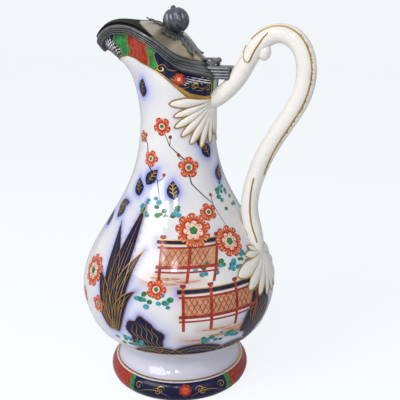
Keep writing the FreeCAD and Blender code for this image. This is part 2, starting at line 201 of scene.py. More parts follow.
def feed(material, node, inputs):
    """Set a node's inputs to values, to colours given in hex, or to the sockets that feed them."""
    for name, value in inputs.items():
        if isinstance(value, bpy.types.NodeSocket):
            material.node_tree.links.new(value, node.inputs[name])
        else:
            node.inputs[name].default_value = colour(value) if isinstance(value, str) else value


def add_node(material, kind, inputs, **settings):
    """Add a node with its inputs and settings, and return its outputs."""
    node = material.node_tree.nodes.new("ShaderNode" + kind)
    for name, value in settings.items():
        setattr(node, name, value)
    feed(material, node, inputs)
    return node.outputs


def new_material(name):
    """A material with nodes, its shader and the Object coordinates that its patterns use."""
    material = bpy.data.materials.new(name)
    material.use_nodes = True
    shader = material.node_tree.nodes["Principled BSDF"]
    return material, shader, add_node(material, "TexCoord", {})["Object"]


def noise(material, place, size, detail=2, roughness=0.5):
    """A cloudy pattern with patches of about a size."""
    inputs = {"Vector": place, "Scale": 1 / size, "Detail": detail, "Roughness": roughness}
    return add_node(material, "TexNoise", inputs)["Fac"]


def blend(material, share, first, second):
    """A colour between two others."""
    inputs = {0: share, mix_first: first, mix_second: second}
    return add_node(material, "Mix", inputs, data_type="RGBA")[mix_out]


def stretch(material, value, low=0, high=1, start=0, end=1):
    """A value that runs from start to end while another runs from low to high."""
    inputs = {"Value": value, "From Min": low, "From Max": high, "To Min": start, "To Max": end}
    return add_node(material, "MapRange", inputs)["Result"]


def attribute(material, name):
    return add_node(material, "Attribute", {}, attribute_name=name)["Fac"]


def relief(material, height, strength):
    inputs = {"Height": height, "Strength": strength, "Distance": relief_depth}
    return add_node(material, "Bump", inputs)["Normal"]


def glazed_ironstone():
    """Lead glaze over hard white earthenware: glossy, a little blue where the cobalt has run into it."""
    material, shader, place = new_material("glazed_ironstone")
    white = blend(material, noise(material, place, cloud_size, 3), "#f1ece4", "#e8e3de")
    # Blue where the cobalt has run into the glaze; on the foot it is partly painted shade.
    blue = blend(material, attribute(material, "flow_blue_and_shade"), white, "#7f8fe0")
    warm = blend(material, attribute(material, "wash"), blue, "#c08a68")
    ripple = relief(material, noise(material, place, pool_size), 0.12)
    feed(material, shader, {"Base Color": warm, "Normal": ripple, "Roughness": 0.08, "IOR": 1.52})
    return material


def enamel(name, thin, thick):
    """Painted enamel fused on the glaze: glossy, with brush marks that pool from a thin to a thick colour."""
    material, shader, place = new_material(name)
    marks = stretch(material, noise(material, place, brush_size, 4, 0.6), 0.35, 0.65)
    shade = blend(material, marks, thick, thin)
    feed(material, shader, {"Base Color": shade, "Roughness": 0.14, "Specular IOR Level": 0.22})
    return material


def burnished_gilt():
    """Burnished gold: a soft metal film, browner where hands have worn it."""
    material, shader, place = new_material("burnished_gilt")
    shade = blend(material, noise(material, place, wear_size, 5), "#8a6428", "#c39a52")
    feed(material, shader, {"Base Color": shade, "Metallic": 0.8, "Roughness": 0.34})
    return material


def cast_pewter(name, bright, dull, patch_size):
    """Cast pewter: satin metal with a fine grain, dull in patches, and near-black painted shade where the
    attribute says so.
    """
    material, shader, place = new_material(name)
    painted_shade = attribute(material, "painted_shade")
    tarnish = stretch(material, noise(material, place, patch_size, 6, 0.65), 0.3, 0.7)
    # The near-black colour is painted shade, and it takes the metal's shine away.
    shade = blend(material, painted_shade, blend(material, tarnish, dull, bright), "#15140f")
    grain = relief(material, noise(material, place, grain_size, 3), 0.25)
    feed(material, shader, {"Base Color": shade, "Normal": grain,
                            "Metallic": stretch(material, painted_shade, start=0.75, end=0.0),
                            "Roughness": stretch(material, painted_shade, start=0.36, end=0.6),
                            "Specular IOR Level": stretch(material, painted_shade, start=0.5, end=0.03)})
    return material


def set_plaster():
    """Plaster of Paris: matt, with fine pores."""
    material, shader, place = new_material("set_plaster")
    shade = blend(material, noise(material, place, pore_size), "#cfc8ba", "#e2ddd2")
    feed(material, shader, {"Base Color": shade, "Roughness": 0.9})
    return material


glaze = glazed_ironstone()
gilt = burnished_gilt()
pewter = cast_pewter("cast_pewter", "#7d7e80", "#434447", tarnish_size)
# The lid's pewter: a beige copy of the cast pewter, painted as a warm reflection.
pewter_warm_reflection = cast_pewter("pewter_painted_warm_reflection", "#b5a98f", "#8d826d", tarnish_size)
pewter_dark = cast_pewter("engraved_pewter", "#74797f", "#2b2f36", engraving_size)
plaster = set_plaster()
paints = {"cobalt": enamel("cobalt_enamel", "#15184c", "#06071a"),
          "ink": enamel("outline_enamel", "#4a3a38", "#1c1a22"),
          "red": enamel("iron_red_enamel", "#b53a24", "#7e2418"),
          "orange": enamel("orange_enamel", "#dc6234", "#bd421d"),
          "pale": enamel("blush_enamel", "#f2dccf", "#e8b8a0"),
          "green": enamel("leaf_green_enamel", "#3f8f4e", "#1d6035"),
          "turquoise": enamel("turquoise_enamel", "#4fa6b6", "#257f9c"),
          "wash": enamel("earth_wash", "#d2a583", "#b67a54"),
          "gilt": gilt}
# Parts of the flowers that lie over other colours.
paints.update(eye=paints["green"], petal=paints["red"], heart=paints["pale"], blush=paints["orange"])


class Wall:
    """Outside of a turned CAD node: its radius at each angle and height, read with level rays.

    Above the node's edge the wall goes on as it ends.  From the neck up it only widens, as far as its reach.
    """

    def __init__(self, node, low, high, neck, reach):
        self.low = low
        self.rows = int(round((high - low) / wall_step)) + 1
        self.grid = np.zeros((self.rows, wall_columns))
        far = max(cad_box[1])
        for column in range(wall_columns):
            angle = full_turn * column / wall_columns
            outward = Vector((math.cos(angle), math.sin(angle), 0))
            before = known = 0
            for row in range(self.rows):
                start = outward * far + Vector((0, 0, low + row * wall_step))
                hit, point = nodes[node].ray_cast(start, -outward)[:2]
                reached = point.dot(outward) if hit else 0
                if reached > (known - edge_step if low + row * wall_step > neck else 0):
                    before, known = known or reached, reached
                else:
                    before, known = known, min(known + max(known - before, 0), reach)
                self.grid[row, column] = known

    def radius(self, angle, height):
        """Radius at angles in radians, for numbers or arrays."""
        column = np.mod(angle, full_turn) / full_turn * wall_columns
        row = np.clip((np.asarray(height) - self.low) / wall_step, 0, self.rows - 1.001)
        left = np.floor(column).astype(int)
        under = np.floor(row).astype(int)
        across = column - left
        up = row - under
        left = left % wall_columns
        right = (left + 1) % wall_columns
        lower = self.grid[under, left] * (1 - across) + self.grid[under, right] * across
        upper = self.grid[under + 1, left] * (1 - across) + self.grid[under + 1, right] * across
        return lower * (1 - up) + upper * up

    def slopes(self, angle, height):
        """How fast the wall moves out round the jug and upwards."""
        turn = full_turn / wall_columns
        around = self.radius(angle + turn, height) - self.radius(angle - turn, height)
        upward = self.radius(angle, height + wall_step) - self.radius(angle, height - wall_step)
        return around / (2 * turn * self.radius(angle, height)), upward / (2 * wall_step)

    def points(self, angle, height, lift):
        """Places on the wall, raised along its normal."""
        around, upward = self.slopes(angle, height)
        length = np.sqrt(1 + around ** 2 + upward ** 2)
        radius = self.radius(angle, height) + lift / length
        aside = -lift * around / length
        cosine, sine = np.cos(angle), np.sin(angle)
        return np.stack([radius * cosine - aside * sine, radius * sine + aside * cosine,
                         height - lift * upward / length], axis=-1)


foot_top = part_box("foot_ring")[1].z
rim_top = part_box("jug_body")[1].z
neck_height = 215 * mm
spout_reach = 59.5 * mm
rim_margin, foot_margin = 3 * mm, 0.5 * mm
jug_wall = Wall("jug_body", foot_top, rim_top + rim_margin, neck_height, spout_reach)
foot_wall = Wall("foot_ring", foot_margin, foot_top - foot_margin, neck_height, spout_reach)


def bent_line(places, values):
    """A smooth curve through points, as a function of the place."""
    x, y = np.array(places), np.array(values)
    step = np.diff(x)
    slope = np.diff(y) / step
    matrix, right = np.eye(len(x)), np.zeros(len(x))
    for index in range(1, len(x) - 1):
        before, after = step[index - 1], step[index]
        matrix[index, index - 1:index + 2] = before, 2 * (before + after), after
        right[index] = 6 * (slope[index] - slope[index - 1])
    bend = np.linalg.solve(matrix, right)

    def value(at):
        index = np.clip(np.searchsorted(x, at) - 1, 0, len(x) - 2)
        before, after, span = at - x[index], x[index + 1] - at, step[index]
        return ((bend[index] * after ** 3 + bend[index + 1] * before ** 3) / (6 * span)
                + (y[index] / span - bend[index] * span / 6) * after
                + (y[index + 1] / span - bend[index + 1] * span / 6) * before)
    return value


def ease(value, start, end):
    """Nothing at start, all at end, and an even S between them."""
    share = np.clip((value - start) / (end - start), 0, 1)
    return share * share * (3 - 2 * share)


# The mouth's finished form: its wall draws in towards the hinge, and its rim sweeps up to a crest.
mouth_rear_radius = 18.4 * mm
tuck_heights = (227.5 * mm, 243.5 * mm)
tuck_turns = (122.0, 42.0)
rim_points = mm * np.array(((-71.4, 246.1), (-63.1, 252.6), (-52.5, 260.8), (-44.4, 265.1), (-34.4, 266.8),
                            (-22.7, 265.6), (-11.5, 261.6), (-3.3, 256.6), (2.8, 251.2), (8.7, 246.2),
                            (16.7, 242.4), (24.2, 239.5), (32.7, 238.4), (53.6, 238.4)))
rim = bent_line(*rim_points.T)
rim_low = rim_points[-1, 1]
rim_crest, rim_high = max(rim_points, key=lambda point: point[1])
wall_thickness = 4.5 * mm
collar_out = 3.2 * mm
collar_front_height = 6.0 * mm
collar_rear_height = 10.2 * mm
collar_lip = 8.0 * mm
lip_thickness = 1.6 * mm
edge_rounds = 40
# The CAD wall is kept up to this height, and the drawn-in mouth goes on from it.
mouth_cut = 224.0 * mm
mouth_overlap = 2 * mm
mouth_columns = 180

wall_turns = np.abs(np.mod(np.arange(wall_columns) / wall_columns * 360 + 180, 360) - 180)
wall_heights = jug_wall.low + np.arange(jug_wall.rows) * wall_step
tuck = np.outer(ease(wall_heights, *tuck_heights), ease(wall_turns, *tuck_turns))
jug_wall.grid += (mouth_rear_radius - jug_wall.grid) * tuck


def rim_edge(angle, out):
    """Distance from the axis and height of the rim at angles in radians, outside the wall by a length."""
    height = np.full(np.shape(angle), rim_low)
    for attempt in range(edge_rounds):
        around, upward = jug_wall.slopes(angle, height)
        distance = jug_wall.radius(angle, height) + out * np.sqrt(1 + around ** 2 + upward ** 2)
        height = (height + rim(distance * np.cos(angle))) / 2
    return distance, height


def collar_edge(which, angle):
    """Height of the collar's lower (0) or upper (1) edge at angles in radians."""
    distance, height = rim_edge(angle, collar_out / 2)
    depth = np.where(distance * np.cos(angle) > rim_crest, (rim_high - height) / (rim_high - rim_low), 0)
    low = height - collar_front_height - (collar_rear_height - collar_front_height) * depth
    return height if which else low


def grid(name, columns, rows):
    """A flat grid to be bent, and its points' shares across and up."""
    deselect()
    bpy.ops.mesh.primitive_grid_add(x_subdivisions=columns, y_subdivisions=rows, size=1)
    piece = bpy.context.object
    piece.name = name
    shares = np.array([vertex.co for vertex in piece.data.vertices]) + 0.5
    return piece, shares[:, 0], shares[:, 1]


def set_points(piece, points):
    piece.data.vertices.foreach_set("co", points.ravel())
    piece.data.update()


def patch(name, wall, columns, rows, lift, where):
    """A sheet on the wall: where turns shares across and up into angles in radians and heights."""
    piece, across, up = grid(name, columns, rows)
    rise = lift(across, up) if callable(lift) else lift
    set_points(piece, wall.points(*where(across, up), rise))
    return piece


def film_piece(piece, material):
    """Give a painted sheet its thickness and finish it."""
    thicken(piece, film)
    return finish(piece, material, ceramic, crease_fine)


def set_attribute(piece, name, values):
    target = piece.data.attributes.new(name, "FLOAT", "POINT")
    target.data.foreach_set("value", np.asarray(values, dtype=np.float32))


def dress(node, name, material, part):
    """A smooth copy of a CAD node that stands for it."""
    piece = new_object(name, nodes[node].data.copy())
    edit(piece)
    bpy.ops.mesh.customdata_custom_splitnormals_clear()
    bpy.ops.mesh.remove_doubles(threshold=merge_distance)
    end_edit()
    return finish(piece, material, part, crease_cad, node)


# Painted decoration: flat shapes for each colour, drawn as on a transfer sheet and wrapped round the jug.
# Drawings are in millimetres about a place on the wall.  Outlines and lines on the wall are pairs of an
# angle in radians and a height.
sheets = {name: [] for name in layer_lifts}


def spot(angle, height, turn=0, size=1):
    """A place on the jug's wall: turns points of a flat drawing into angles and heights."""
    middle = math.radians(angle)
    climb = 1 / math.hypot(1, float(jug_wall.slopes(middle, height)[1]))
    cosine, sine = math.cos(math.radians(turn)) * size * mm, math.sin(math.radians(turn)) * size * mm

    def place(x, y):
        level = height + (x * sine + y * cosine) * climb
        return middle + (x * cosine - y * sine) / float(jug_wall.radius(middle, level)), level
    return place


def drawn(place, points):
    return [place(x, y) for x, y in points]


def fill(paint, place, outline):
    sheets[paint].append(drawn(place, outline))


def heading(line, index):
    """Direction of a line at one of its points."""
    before, after = line[max(index - 1, 0)], line[min(index + 1, len(line) - 1)]
    return Vector((after[0] - before[0], after[1] - before[1])).normalized()


def stroke(target, path, width, wall=jug_wall, taper=False):
    """A brush line along a path on the wall, added to a list, and pointed at its ends if it tapers."""
    flat = [(angle * float(wall.radius(angle, height)), height) for angle, height in path]
    sides = []
    for index, (angle, height) in enumerate(path):
        along = heading(flat, index)
        share = index / (len(path) - 1)
        half = width / 2 * (0.15 + 0.85 * math.sin(math.pi * share) if taper else 1)
        aside = along.y * half / float(wall.radius(angle, height))
        sides.append([(angle - side * aside, height + side * along.x * half) for side in (-1, 1)])
    for (right, left), (next_right, next_left) in zip(sides, sides[1:]):
        target.append([right, next_right, next_left, left])


def brush(paint, place, points, width_mm, taper=True):
    """A brush line along the points of a drawing."""
    stroke(sheets[paint], drawn(place, points), width_mm * mm, taper=taper)


def curve(start, middle, end, count=10):
    """Points of a bent line through three points' control polygon."""
    steps = [index / count for index in range(count + 1)]
    return [tuple((1 - t) ** 2 * a + 2 * t * (1 - t) * b + t * t * c for a, b, c in zip(start, middle, end))
            for t in steps]


def oval(width, height, middle=(0, 0), count=14):
    turns = [full_turn * index / count for index in range(count)]
    return [(middle[0] + width / 2 * math.cos(t), middle[1] + height / 2 * math.sin(t)) for t in turns]


def rosette(radius, petals, depth, turn=0):
    """Outline of a flower with round petals, turned by an angle in radians."""
    count = petals * 8
    points = []
    for index in range(count):
        angle = full_turn * index / count
        reach = radius * (1 - depth * (1 - abs(math.cos(petals * angle / 2))) ** 1.5)
        points.append((reach * math.cos(angle + turn), reach * math.sin(angle + turn)))
    return points


def blade(line, width, belly=0.8):
    """Outline of a pointed leaf about a centre line."""
    left, right = [], []
    for index, (x, y) in enumerate(line):
        along = heading(line, index)
        half = width / 2 * math.sin(math.pi * (index / (len(line) - 1)) ** belly)
        left.append((x - along.y * half, y + along.x * half))
        right.append((x + along.y * half, y - along.x * half))
    return right + left[-2:0:-1]


def spiral(radius, turns, hand):
    """A scroll that winds in to its middle, to the right or left."""
    count, inward = 22, 0.85
    points = []
    for index in range(count + 1):
        share = index / count
        angle = full_turn * turns * share
        reach = radius * (1 - inward * share)
        points.append((hand * (reach * math.cos(angle) - radius), reach * math.sin(angle)))
    return points


def cobalt_leaf(angle, height, turn):
    """A cobalt leaf with a gilt midrib and veins."""
    length, width, bend = 14, 9, 1.4
    place = spot(angle, height, turn)
    line = curve((0, 0), (length / 2, bend), (length, 0))
    fill("cobalt", place, blade(line, width))
    brush("gilt", place, line[1:-1], 0.55)
    for x, y in line[3:8:2]:
        for side in (-width, width):
            brush("gilt", place, [(x, y), (x + 1.2, y + side * 0.14), (x + 2, y + side * 0.28)], 0.35, False)


def streaks(paint, place, count, start, end, width):
    """Short brush lines that run out from a flower's middle."""
    for index in range(count):
        angle = full_turn * index / count
        reaches = (start, (start + end) / 2, end)
        brush(paint, place, [(reach * math.cos(angle), reach * math.sin(angle)) for reach in reaches], width)


def blossom(angle, height, size, turn=0):
    """A five-petalled blossom: orange petals paler at their edges round a green eye."""
    place = spot(angle, height, turn)
    radius = size / 2
    fill("red", place, rosette(radius, 5, 0.3))
    fill("orange", place, rosette(radius * 0.92, 5, 0.3))
    streaks("pale", place, 15, radius * 0.62, radius * 0.88, 0.45)
    fill("petal", place, rosette(radius * 0.52, 10, 0.2))
    fill("heart", place, oval(radius * 0.72, radius * 0.72))
    fill("eye", place, rosette(radius * 0.24, 5, 0.3))


def peony(angle, height, size, turn):
    """A full flower with two rings of streaked petals."""
    place = spot(angle, height, turn)
    radius = size / 2
    fill("red", place, rosette(radius, 9, 0.2))
    fill("orange", place, rosette(radius * 0.95, 9, 0.22))
    streaks("pale", place, 27, radius * 0.72, radius * 0.93, 0.6)
    fill("petal", place, rosette(radius * 0.66, 7, 0.25, 0.3))
    fill("heart", place, rosette(radius * 0.56, 7, 0.3, 0.3))
    streaks("blush", place, 14, radius * 0.28, radius * 0.52, 0.55)
    fill("eye", place, rosette(radius * 0.24, 5, 0.2))
    streaks("gilt", place, 9, radius * 0.6, radius * 0.8, 0.3)


def foliage(angle, height, width, rise, count, seed):
    """A cluster of small round leaves in green and turquoise."""
    draw = random.Random(seed)
    place = spot(angle, height)
    for index in range(count):
        x = draw.uniform(-width / 2, width / 2)
        y = draw.uniform(0, rise) * (1 - abs(x) / width)
        size = draw.uniform(3.0, 4.8)
        fill("green" if index % 2 else "turquoise", place, oval(size, size * 0.8, (x, y), 10))
        if index % 3 == 0:
            brush("ink", place, curve((x - 1.4, y - 0.8), (x, y), (x + 1.5, y + 0.8), 4), 0.35)


def ground(angle, height, width, lines, seed):
    """Brushed earth: a few level strokes."""
    draw = random.Random(seed)
    place = spot(angle, height)
    gap, sag = 1.6, 1.2
    for index in range(lines):
        x = draw.uniform(-width / 2, width * 0.1)
        y = -index * gap + draw.uniform(-0.4, 0.4)
        length = draw.uniform(width * 0.35, width * 0.6)
        brush("wash", place, curve((x, y), (x + length / 2, y - sag), (x + length, y), 12), 1.8)


def broad_leaves(angle, height):
    """A tall clump of long cobalt leaves, lined with gilt."""
    place = spot(angle, height)
    steps = 16
    clump = ((-34, 52, 11), (-15, 78, 13), (4, 92, 14), (20, 66, 12), (37, 44, 10), (-50, 30, 8))
    for lean, tall, wide in clump:
        tip = (tall * math.sin(math.radians(lean)) * 0.7, tall * math.cos(math.radians(lean)))
        line = curve((lean * 0.1, 0), (lean * 0.12, tall * 0.6), tip, steps)
        shape = blade(line, wide, 0.7)
        fill("cobalt", place, shape)
        brush("gilt", place, shape + shape[:1], 0.6, False)
        brush("gilt", place, line[1:-2], 0.5)
        for side in (-0.18, 0.18):
            inner = [(x + side * wide * math.sin(math.pi * k / steps), y) for k, (x, y) in enumerate(line)]
            brush("gilt", place, inner[4:-5], 0.35)


def hillocks(angle, height):
    """Rounded cobalt banks with gilt scallops."""
    place = spot(angle, height)
    steps = 18
    for x, wide, tall in ((-22, 34, 12), (6, 40, 16), (34, 30, 10)):
        turns = [math.pi * k / steps for k in range(steps + 1)]
        fill("cobalt", place, [(x + wide / 2 * math.cos(t), tall * math.sin(t)) for t in turns])
        for share, width in ((1, 0.6), (0.75, 0.4), (0.5, 0.4)):
            arch = [(x + wide / 2 * share * math.cos(t), tall * share * math.sin(t)) for t in turns]
            brush("gilt", place, arch, width, False)


def rockwork(angle, height, width, tall, lean):
    """A leaning garden rock in cobalt, its hollows lined with gilt."""
    place = spot(angle, height)
    count, slant = 36, lean * 0.01
    outline = []
    for index in range(count):
        turn = full_turn * index / count
        reach = 1 + 0.10 * math.sin(5 * turn + lean) + 0.05 * math.sin(9 * turn)
        y = tall / 2 * (1 + reach * math.sin(turn))
        outline.append((width / 2 * reach * math.cos(turn) + slant * y, y))
    fill("cobalt", place, outline)
    brush("gilt", place, outline + outline[:1], 0.6, False)
    for across in (-0.6, -0.36, -0.12, 0.12, 0.36, 0.6):
        half = tall / 2 * math.sqrt(1 - across ** 2) * 0.78
        line = []
        for step in range(13):
            y = tall / 2 + half * (step / 6 - 1)
            line.append((width / 2 * (across + 0.09 * math.sin(step * 0.9 + 4 * across)) + slant * y, y))
        brush("gilt", place, line, 0.55)


def bar(x0, y0, x1, y1):
    return [(x0, y0), (x1, y0), (x1, y1), (x0, y1)]


def fence(angle, height, panels):
    """A low garden fence: posts, a capped rail and lattice panels."""
    place = spot(angle, height)
    step, post, low, high = 19, 2.0, 4.0, 17.0
    rail_low, rail_high, rail_end = 19.2, 22.4, 4
    lattice, lean = 5, 0.6
    span, rise = panels * step, high - low
    fill("wash", place, bar(0, low, span, high))
    for index in range(panels + 1):
        x = index * step
        fill("red", place, bar(x - post / 2, -7, x + post / 2, 24))
        fill("red", place, bar(x - post, 23.5, x + post, 25.5))
    for y, tall in ((low - 1.2, 2.2), (high - 0.6, 1.4), (0, 1.2)):
        fill("red", place, bar(-3, y, span + 3, y + tall))
    fill("cobalt", place, bar(-rail_end, rail_low, span + rail_end, rail_high))
    for y, width in ((rail_high, 0.6), (rail_low + 0.1, 0.4)):
        edge = [(-rail_end + (span + 2 * rail_end) * k / 20, y) for k in range(21)]
        brush("gilt", place, edge, width, False)
    for index in range(panels * lattice - 2):
        x = index * step / lattice
        for start, end in ((0, 1), (1, 0)):
            slat = [(x + rise * lean * (start + (end - start) * k / 6), low + rise * k / 6) for k in range(7)]
            brush("red", place, slat, 0.45, False)


def branch(middle, level, path, seed):
    """A dark twig along angles and heights from a middle and level, with small leaves and buds."""
    draw = random.Random(seed)
    stem, parts = 6, 4
    places = [(middle + offset, level + height * mm) for offset, height in path]
    points = [(math.radians(angle), height) for angle, height in places]
    fine = []
    for first, last in zip(points, points[1:]):
        fine += [tuple(a + (b - a) * k / parts for a, b in zip(first, last)) for k in range(parts)]
    stroke(sheets["ink"], fine + [points[-1]], 0.8 * mm, taper=True)
    for angle, height in places[1:-1]:
        place = spot(angle, height)
        lean = math.radians(draw.uniform(30, 150))
        tip = (stem * math.cos(lean), stem * math.sin(lean))
        brush("ink", place, curve((0, 0), (tip[0], 0), tip, 6), 0.45)
        fill("red", place, oval(2.4, 2.8, tip, 9))


# One painted side: leaves to one side, a fence with flowers to the other, a twig up the neck.
# Each motif has its degrees from the middle, its height in millimetres, and then its own sizes and seed.
garden_motifs = (
    (broad_leaves, -40, 60),
    (rockwork, -17, 47, 26, 36, -18), (rockwork, 47, 50, 30, 44, 22),
    (hillocks, 6, 44),
    (fence, 2, 74, 3), (fence, -12, 106, 2),
    (peony, 12, 131, 25, 10), (peony, 40, 121, 23, 40), (peony, -63, 96, 24, 25),
    (blossom, -13, 96, 14), (blossom, 29, 141, 13, 30), (blossom, -52, 76, 13, 20),
    (blossom, -72, 74, 12, 40),
    (foliage, -14, 84, 26, 12, 18, 3), (foliage, 24, 104, 34, 12, 20, 4), (foliage, 52, 98, 24, 22, 20, 5),
    (foliage, -30, 50, 30, 10, 18, 6), (foliage, 26, 56, 34, 9, 20, 7), (foliage, -20, 139, 30, 16, 22, 8),
    (foliage, 60, 140, 18, 26, 16, 12),
    (ground, 22, 67, 62, 6, 9), (ground, -4, 103, 46, 3, 13), (ground, -4, 44, 80, 4, 10),
    (branch, 0, 0, ((44, 128), (36, 146), (16, 160), (10, 176), (-12, 186), (-24, 200)), 11),
    (branch, 0, 0, ((-20, 150), (-26, 162), (-44, 172), (-50, 186), (-66, 192)), 14),
    (blossom, 14, 171, 15, 15), (blossom, -24, 199, 13, 50), (blossom, -40, 176, 12),
    (blossom, -62, 190, 9, 30),
    (cobalt_leaf, -40, 158, 60), (cobalt_leaf, -46, 150, 110), (cobalt_leaf, 34, 184, 70),
    (cobalt_leaf, 50, 176, 110), (cobalt_leaf, 30, 196, 105), (cobalt_leaf, -66, 132, 80),
    (cobalt_leaf, -76, 124, 130), (cobalt_leaf, 58, 158, 60), (cobalt_leaf, -58, 218, 75),
    (cobalt_leaf, -4, 150, 95), (cobalt_leaf, -74, 138, 30))


def garden(middle):
    for motif, offset, height, *sizes in garden_motifs:
        motif(middle + offset, height * mm, *sizes)


def wrap_sheet(name, wall, outlines, material, lift):
    """Cut the flat shapes of one colour into small cells and lay them on the wall."""
    vertices, faces = [], []
    for outline in outlines:
        turned = sum(a[0] * b[1] - b[0] * a[1] for a, b in zip(outline, outline[1:] + outline[:1]))
        ordered = outline if turned > 0 else outline[::-1]
        faces.append(range(len(vertices), len(vertices) + len(ordered)))
        vertices += [(angle * sheet_radius, height, 0) for angle, height in ordered]
    mesh = bpy.data.meshes.new(name)
    mesh.from_pydata(vertices, [], faces)
    piece = new_object(name, mesh)
    edit(piece)
    bpy.ops.mesh.select_mode(type="EDGE")
    bpy.ops.mesh.remove_doubles(threshold=merge_distance / 10)
    bpy.ops.mesh.quads_convert_to_tris(quad_method="BEAUTY", ngon_method="BEAUTY")
    for cut in range(sheet_cuts):
        drawing = bmesh.from_edit_mesh(mesh)
        for edge in drawing.edges:
            edge.select_set(edge.calc_length() > sheet_cell)
        drawing.select_flush_mode()
        bmesh.update_edit_mesh(mesh)
        bpy.ops.mesh.subdivide()
        bpy.ops.mesh.select_all(action="SELECT")
        bpy.ops.mesh.quads_convert_to_tris(quad_method="BEAUTY", ngon_method="BEAUTY")
    end_edit()
    flat = np.array([vertex.co for vertex in mesh.vertices])
    set_points(piece, wall.points(flat[:, 0] / sheet_radius, flat[:, 1], lift + sheet_rise))
    return film_piece(piece, material)


def nearness(piece, paint, bleed):
    """How near each point of a piece is to one colour, from 1 on it to 0 well past the bleed."""
    tree = KDTree(sum(len(outline) for outline in sheets[paint]))
    for outline in sheets[paint]:
        for angle, height in outline:
            tree.insert(Vector(jug_wall.points(np.array(angle), np.array(height), 0)), 0)
    tree.balance()
    return np.array([math.exp(-(tree.find(vertex.co)[2] / bleed) ** 2) for vertex in piece.data.vertices])


# The glaze reaches under the collar.  Its tints fade with the distance from cobalt and earth colours.
under_collar = 2.5 * mm
haze_bleed, edge_bleed, wash_bleed = 9 * mm, 2.6 * mm, 5 * mm
flow_base, flow_haze, flow_edge, wash_share = 0.1, 0.25, 0.5, 0.4
# Above 1, the glaze's rows lie closer together near the foot.
row_power = 1.3


def make_glaze():
    """The jug's glazed outside, from the foot up under the collar, tinted round the painted colours."""
    def where(across, up):
        angle = across * full_turn
        top = collar_edge(0, angle) + under_collar
        return angle, foot_top + (top - foot_top) * up ** row_power
    piece = patch("jug_glaze", jug_wall, glaze_columns, glaze_rows, glaze_lift, where)
    close_seam(piece)
    face_outward(piece)
    haze, edge = nearness(piece, "cobalt", haze_bleed), nearness(piece, "cobalt", edge_bleed)
    set_attribute(piece, "flow_blue_and_shade", flow_base + flow_haze * haze + flow_edge * edge)
    set_attribute(piece, "wash", wash_share * nearness(piece, "wash", wash_bleed))
    finish(piece, glaze, ceramic, crease_soft)


# Border under the collar: panels down to a gilt line, which rises from the handle to the spout.
# The line is given by degrees from the handle and heights in millimetres.
border_line = np.array(((0, 218.6), (28, 219.0), (50, 221.6), (71, 228.0), (90, 234.6), (101, 237.8),
                        (109, 240.0), (128, 244.0), (146, 246.2), (156, 244.6), (180, 240.0)))
border_rows = 8
handle_gap = 9.0
# Panels over the cobalt: their start and end, their paint and how far their ends wave.
border_spans = ((108, 144, "red", 0), (143, 155, "green", 2.5), (98, 109, "green", 2.5),
                (handle_gap, 15, "green", 1.5))
border_lifts = {"cobalt": 0.10 * mm, "red": 0.15 * mm, "green": 0.18 * mm, "gilt": 0.26 * mm}
fine_line, broad_line = 0.5 * mm, 0.9 * mm
# Gilt scrolls on the cobalt: their angle, hand and size.
border_scrolls = ((84, 1, 1.0), (50, -1, 1.0), (40, 1, 0.8), (28, -1, 0.8), (165, 1, 0.8))
border_flower = 66
scroll_rise, flower_rise = 6 * mm, 5 * mm
panel_over = 1.0 * mm


def border_low(angle):
    """Lower edge of the painted border, at angles in radians."""
    turn = np.abs(np.mod(np.asarray(angle) + math.pi, full_turn) - math.pi)
    return np.interp(turn, np.radians(border_line[:, 0]), border_line[:, 1] * mm)


def border_place(turn, up, wave, over=0):
    """Angle and height at a share of the border's height, waved like a scroll."""
    angle = np.radians(turn + wave * np.sin(full_turn * up))
    low = border_low(angle)
    return angle, low + (collar_edge(0, angle) + over - low) * up


def border_panel(name, start, end, paint, wave=0.0):
    """One panel of the border between two angles, its upper edge under the collar."""
    columns = max(4, int(abs(end - start) / 2))

    def where(across, up):
        return border_place(start + (end - start) * across, up, wave, panel_over)
    film_piece(patch(name, jug_wall, columns, border_rows, border_lifts[paint], where), paints[paint])


def make_border():
    border_panel("border_cobalt", handle_gap, 360 - handle_gap, "cobalt")
    lines = []
    for side, name in both_sides:
        for start, end, paint, wave in border_spans:
            first, last = sorted((side * start, side * end))
            border_panel("border_" + paint + "_" + name + "_" + str(start), first, last, paint, wave)
            for edge in (start, end):
                places = [border_place(side * edge, up, wave) for up in np.linspace(0.02, 0.98, 9)]
                stroke(lines, [(float(angle), float(height)) for angle, height in places], fine_line)
    turns = np.radians(np.linspace(handle_gap, 360 - handle_gap, 150))
    stroke(lines, [(angle, float(border_low(angle))) for angle in turns], broad_line)
    for side in (-1, 1):
        for angle, hand, size in border_scrolls:
            middle = float(border_low(math.radians(side * angle))) + scroll_rise
            place = spot(side * angle, middle, 0, size)
            tail = curve((0, 0), (4 * hand, -3), (9 * hand, -1))
            stroke(lines, drawn(place, spiral(3.2, 1.4, hand)), 0.55 * mm, taper=True)
            stroke(lines, drawn(place, tail), fine_line, taper=True)
        turn = side * border_flower
        flower = spot(turn, float(border_low(math.radians(turn))) + flower_rise)
        fill("red", flower, rosette(4.4, 7, 0.2))
        fill("orange", flower, rosette(2.8, 7, 0.2))
        fill("pale", flower, oval(2.2, 2.2))
    wrap_sheet("border_gilding", jug_wall, lines, gilt, border_lifts["gilt"])


def make_ridge():
    """The gilt moulding that thickens under the border towards the handle."""
    ridge_end, thin, deep, foot, rise = 96, 0.5 * mm, 3.2 * mm, 0.3 * mm, 0.9 * mm

    def fullness(across):
        return np.sin(math.pi * np.minimum(1 - across, 0.5))

    def lift(across, up):
        return foot + rise * np.sin(math.pi * up) * fullness(across)

    for side, name in both_sides:
        def where(across, up):
            angle = np.radians(side * (handle_gap + (ridge_end - handle_gap) * across))
            return angle, border_low(angle) - (thin + deep * fullness(across) ** 4) * (1 - up)
        ridge = patch("border_ridge_" + name, jug_wall, 60, border_rows, lift, where)
        face_outward(film_piece(ridge, gilt))


